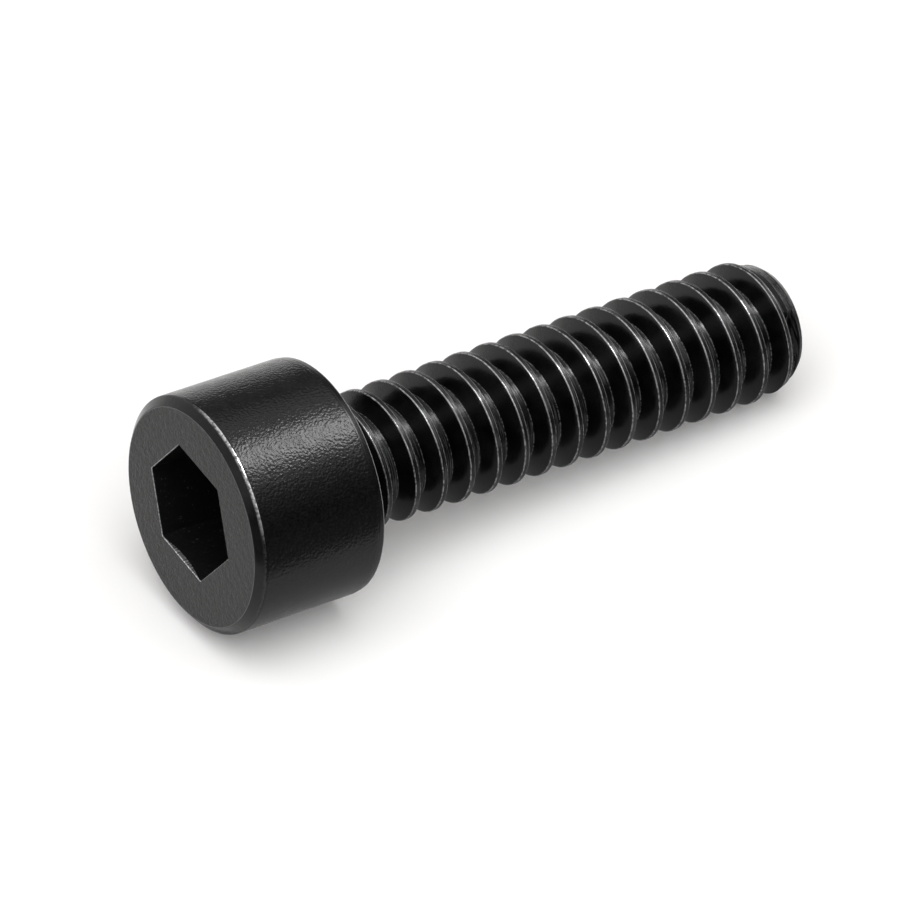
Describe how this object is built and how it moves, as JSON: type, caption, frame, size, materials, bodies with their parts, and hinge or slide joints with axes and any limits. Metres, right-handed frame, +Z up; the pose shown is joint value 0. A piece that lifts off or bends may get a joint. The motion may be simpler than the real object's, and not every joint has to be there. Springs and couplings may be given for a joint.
{
  "type": "socket head cap screw",
  "caption": "Socket head cap screw in blackened steel: cylindrical head with a hexagon socket and a coarse right-hand thread over its full shank.",
  "frame": {"origin": "on the floor under the middle of the screw's box, as the screw lies on the rim of its head and the last crest of its thread", "axes": "+X from the head towards the tip along the floor, +Y across the screw, +Z up; the screw's own axis slopes down towards +X by 5.4 degrees"},
  "size_m": [0.0232, 0.008, 0.0083],
  "materials": {
    "black_steel": "black oxide with a thin oil film, satin, bright where the crests have worn"
  },
  "bodies": {
    "root": {"screw": "black_steel"}
  },
  "joints": []
}
